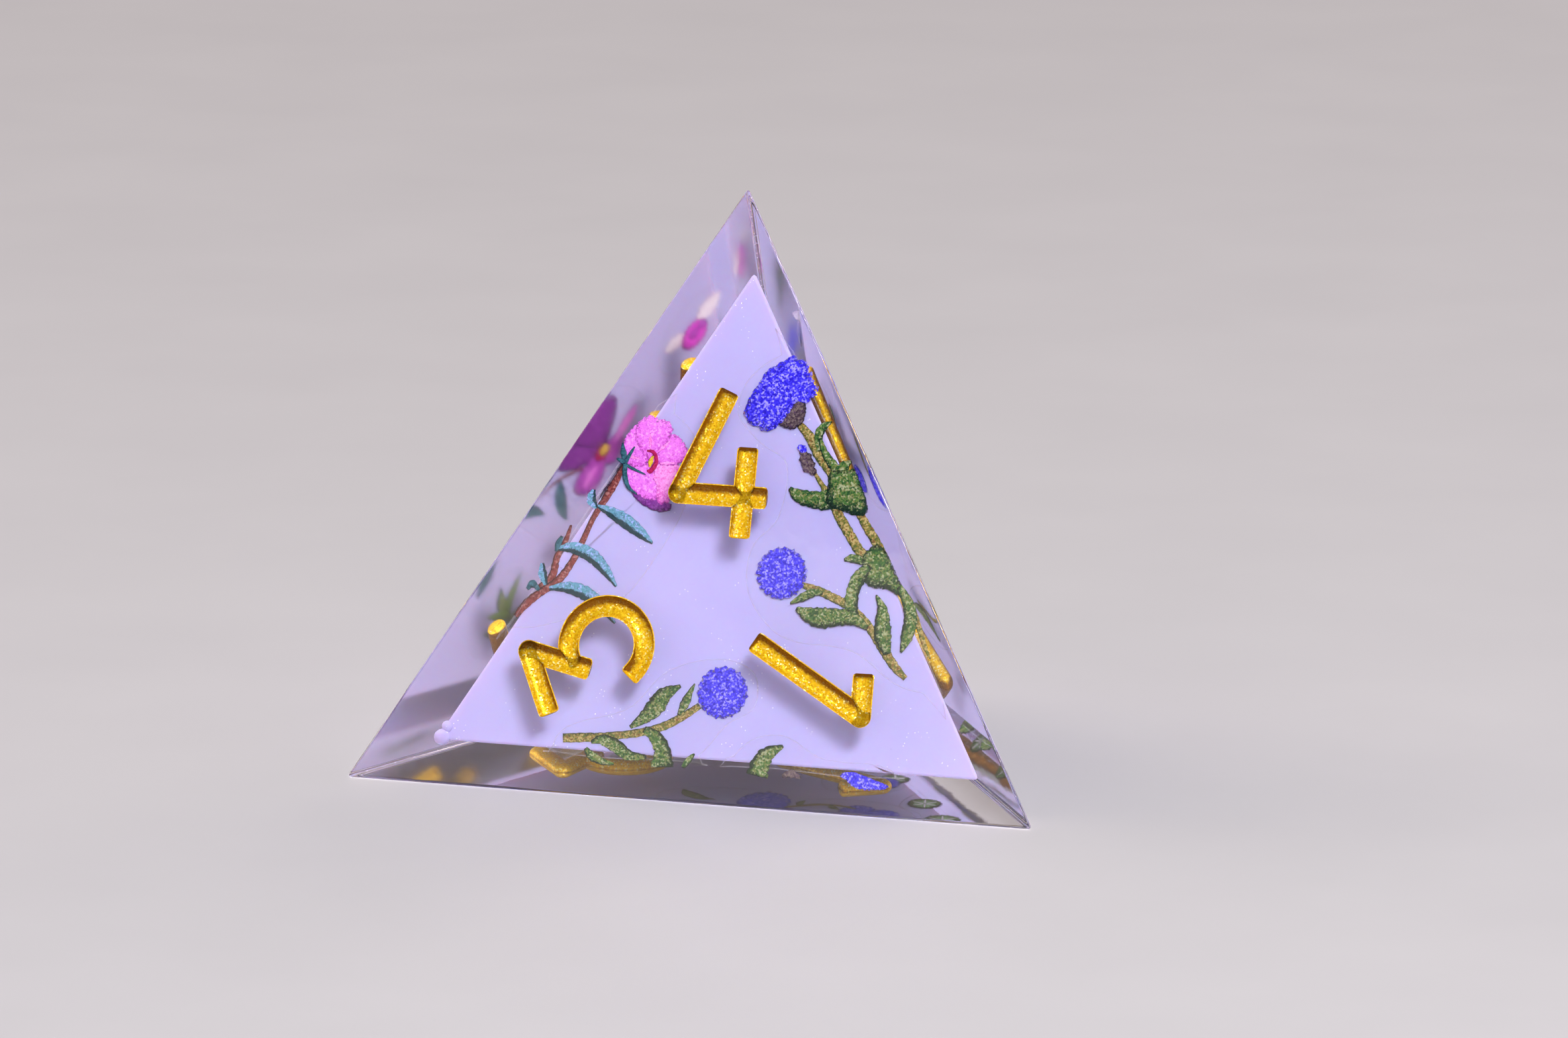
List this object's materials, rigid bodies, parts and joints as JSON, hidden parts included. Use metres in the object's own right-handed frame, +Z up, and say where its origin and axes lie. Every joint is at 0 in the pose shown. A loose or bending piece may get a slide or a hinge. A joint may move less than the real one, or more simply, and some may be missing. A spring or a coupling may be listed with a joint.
{
  "type": "tetrahedral die",
  "caption": "Sharp-edged tetrahedral die: clear resin cast around a white resin core with printed flower films, and gilded sunken numerals read at the corners.",
  "frame": {"origin": "centre of the face that the die rests on, at floor level", "axes": "+Z up through the corner numbered 4; the front face, which shows 4, 3 and 1, looks towards -Y; +X to the right seen from the front, towards the corner numbered 1"},
  "size_m": [0.022, 0.0191, 0.018],
  "materials": {
    "clear_resin": "polished, water-clear cast resin",
    "white_resin": "opaque white cast resin, wet gloss under the clear layer",
    "gold_ink": "glittery gilt paint, brushed thick into the grooves",
    "film_pink": "pink flower print on clear transfer film",
    "film_purple": "purple flower print on clear transfer film",
    "film_thistle": "blue thistle print on clear transfer film",
    "film_green": "green leaf print on clear transfer film",
    "film_teal": "teal leaf print on clear transfer film",
    "film_brown": "brown leaf print on clear transfer film"
  },
  "bodies": {
    "root": {"clear_first_pour": "clear_resin", "clear_second_pour": "clear_resin", "white_core": "white_resin", "ink_4_front": "gold_ink", "ink_3_front": "gold_ink", "ink_1_front": "gold_ink", "ink_4_left": "gold_ink", "ink_2_left": "gold_ink", "ink_3_left": "gold_ink", "ink_4_right": "gold_ink", "ink_1_right": "gold_ink", "ink_2_right": "gold_ink", "ink_2_base": "gold_ink", "ink_1_base": "gold_ink", "ink_3_base": "gold_ink", "front_pink_sprig_film": "film_pink", "front_thistle_branch_film": "film_thistle", "front_ball_sprig_film": "film_thistle", "front_edge_sprig_film": "film_green", "left_blossom_film": "film_pink", "left_pansy_film": "film_purple", "left_green_sprig_film": "film_green", "left_teal_leaf_film": "film_teal", "left_rear_sprig_film": "film_teal", "right_thistle_pair_film": "film_thistle", "right_upper_leaf_film": "film_green", "right_brown_leaf_film": "film_brown", "right_dark_leaf_film": "film_green", "right_rear_sprig_film": "film_green", "base_thistle_sprig_film": "film_thistle", "base_blue_bud_film": "film_thistle", "base_round_leaf_film": "film_green", "base_rear_sprig_film": "film_green"}
  },
  "joints": []
}
